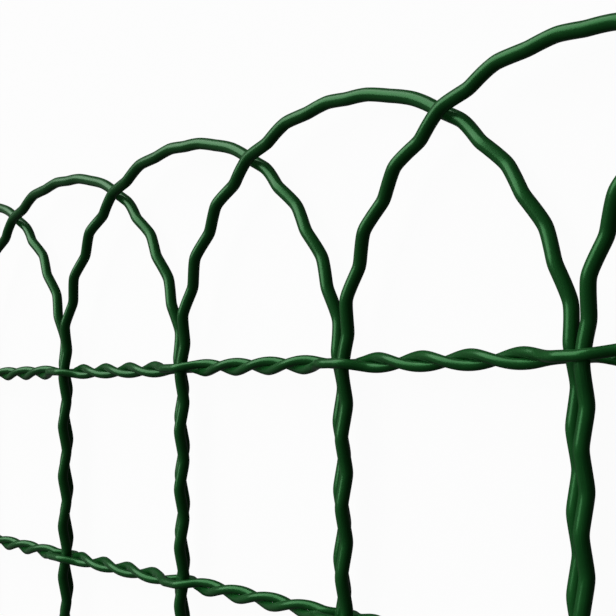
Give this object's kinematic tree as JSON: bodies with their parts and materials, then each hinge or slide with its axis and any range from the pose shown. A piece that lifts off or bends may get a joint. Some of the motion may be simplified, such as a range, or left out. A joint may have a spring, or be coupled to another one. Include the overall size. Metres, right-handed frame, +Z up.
{
  "type": "arched wire border fencing",
  "caption": "Flat length of green coated border fencing: crimped wire hoops overlap as arches and twisted line wires grip their paired legs.",
  "frame": {"origin": "middle of the length and of the height, on the floor that the fencing lies on", "axes": "+X along the length, +Y up the fence towards the arches, +Z up from the floor, through the mesh"},
  "size_m": [1.0014, 0.2504, 0.0139],
  "materials": {
    "green_coating": "smooth dark green PVC coating, semi-gloss, over galvanised steel wire"
  },
  "bodies": {
    "root": {"hoop_wire_01": "green_coating", "hoop_wire_02": "green_coating", "hoop_wire_03": "green_coating", "hoop_wire_04": "green_coating", "hoop_wire_05": "green_coating", "hoop_wire_06": "green_coating", "hoop_wire_07": "green_coating", "hoop_wire_08": "green_coating", "hoop_wire_09": "green_coating", "hoop_wire_10": "green_coating", "hoop_wire_11": "green_coating", "line_wire_1_front_strand": "green_coating", "line_wire_1_back_strand": "green_coating", "line_wire_2_front_strand": "green_coating", "line_wire_2_back_strand": "green_coating", "line_wire_3_front_strand": "green_coating", "line_wire_3_back_strand": "green_coating"}
  },
  "joints": []
}
